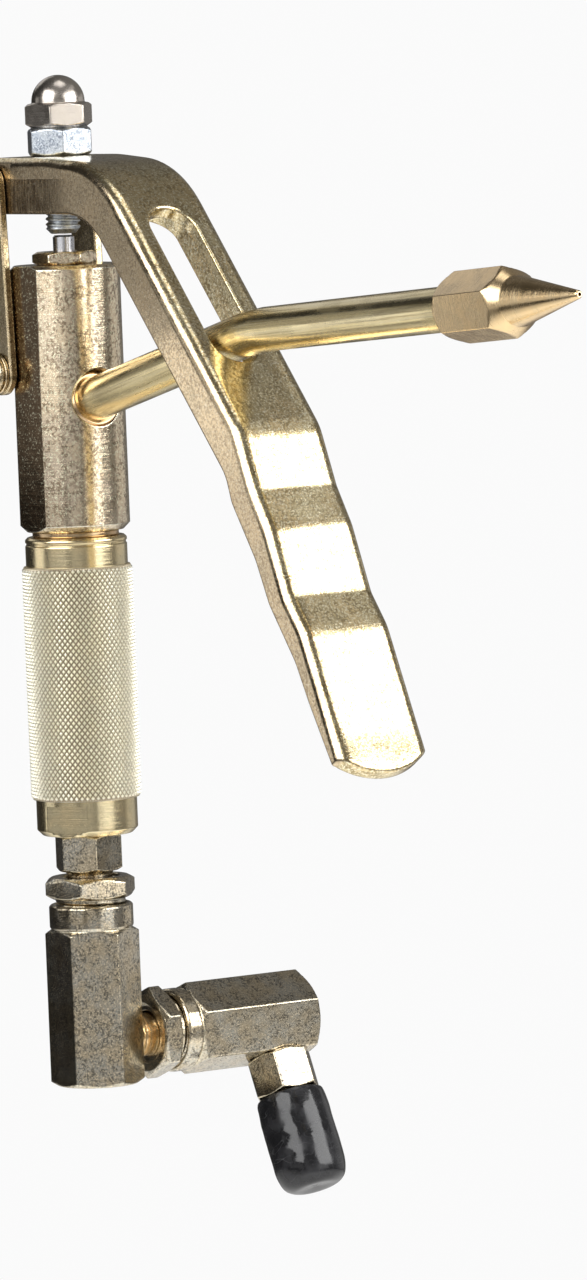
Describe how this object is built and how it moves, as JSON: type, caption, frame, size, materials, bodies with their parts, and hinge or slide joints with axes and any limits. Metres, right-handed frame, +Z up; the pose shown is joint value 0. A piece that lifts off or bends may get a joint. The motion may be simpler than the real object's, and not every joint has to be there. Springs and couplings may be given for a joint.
{
  "type": "grease control gun",
  "caption": "Hand lever valve for high pressure grease: knurled grip under a valve body, slotted lever, bent spout with cone nozzle, and a double swivel hose inlet with a cap.",
  "frame": {"origin": "on the valve axis, in the flat underside of the lever's top, where a hook carries the gun", "axes": "+Z up the valve and grip axis, +X along the spout and lever, +Y towards the second swivel"},
  "size_m": [0.2161, 0.0738, 0.2646],
  "materials": {
    "lever_zinc": "yellow zinc plating over rolled and forged steel, glossy with fine mottling",
    "body_zinc": "brownish yellow zinc plating, satin and mottled",
    "knurl_zinc": "pale yellow zinc plating over diamond knurling",
    "swivel_zinc": "greyish yellow zinc plating, satin and mottled",
    "clear_zinc": "bright bluish zinc plating",
    "nickel": "polished nickel, slightly warm",
    "link_zinc": "dark yellow zinc plating",
    "tube_gold": "gold chromate over drawn steel tube, lengthwise draw lines",
    "copper_ring": "brazed copper coloured ring",
    "brass": "bare turned brass",
    "spring_steel": "bright drawn spring steel",
    "bearing_steel": "ground bearing steel",
    "hard_steel": "ground hardened steel",
    "packing": "white packing polymer",
    "seal_rubber": "black nitrile rubber",
    "cap_vinyl": "dipped black vinyl, glossy"
  },
  "bodies": {
    "gun": {"valve_body": "body_zinc", "packing_gland": "body_zinc", "packing_rings": "packing", "valve_seat": "hard_steel", "valve_spring": "spring_steel", "grip_washer": "copper_ring", "grip": "knurl_zinc", "lower_link_pin": "link_zinc", "lower_pin_washers": "link_zinc", "lower_pin_clip": "spring_steel", "spout_collar": "copper_ring", "spout_tube": "tube_gold", "nozzle": "brass", "swivel_nipple_1": "swivel_zinc"},
    "links": {"link_plate_left": "link_zinc", "link_plate_right": "link_zinc", "upper_link_pin": "link_zinc", "upper_pin_clip": "spring_steel"},
    "lever_arm": {"lever": "lever_zinc", "adjusting_screw": "clear_zinc", "lock_nut": "clear_zinc", "acorn_nut": "nickel"},
    "rod": {"push_rod": "hard_steel"},
    "ball": {"valve_ball": "bearing_steel"},
    "swivel_first": {"swivel_gland_1": "swivel_zinc", "swivel_body_1": "swivel_zinc", "swivel_seal_1": "seal_rubber", "swivel_stub_2": "brass"},
    "swivel_second": {"swivel_gland_2": "swivel_zinc", "swivel_body_2": "swivel_zinc", "swivel_seal_2": "seal_rubber", "inlet_nipple": "swivel_zinc"},
    "cap": {"protective_cap": "cap_vinyl"}
  },
  "joints": [
    {"name": "link_swing", "type": "hinge", "parent": "gun", "child": "links", "pos_m": [-0.0085, 0, -0.0367], "axis": [0, 1, 0], "range_deg": [0, 4]},
    {"name": "lever_squeeze", "type": "hinge", "parent": "links", "child": "lever_arm", "pos_m": [-0.0106, 0, 0.0065], "axis": [0, 1, 0], "range_deg": [0, 10], "stiffness_Nm_per_rad": 1, "springref_deg": -20.05},
    {"name": "rod_press", "type": "slide", "parent": "gun", "child": "rod", "axis": [0, 0, -1], "range_m": [0, 0.0026]},
    {"name": "ball_lift", "type": "slide", "parent": "gun", "child": "ball", "axis": [0, 0, -1], "range_m": [0, 0.0026], "deforming": ["valve_spring"]},
    {"name": "swivel_turn_1", "type": "hinge", "parent": "gun", "child": "swivel_first", "pos_m": [0, 0, -0.1755], "axis": [0, 0, 1], "continuous": true},
    {"name": "swivel_turn_2", "type": "hinge", "parent": "swivel_first", "child": "swivel_second", "pos_m": [0, 0.0285, -0.1922], "axis": [0, 1, 0], "continuous": true},
    {"name": "cap_pull", "type": "slide", "parent": "swivel_second", "child": "cap", "axis": [0.4226, 0, -0.9063], "range_m": [0, 0.04]}
  ],
  "couplings": [
    {"joint": "link_swing", "follows": "lever_squeeze", "ratio": 0.3628},
    {"joint": "rod_press", "follows": "lever_squeeze", "m_per_rad": 0.01368},
    {"joint": "ball_lift", "follows": "lever_squeeze", "m_per_rad": 0.01368}
  ]
}
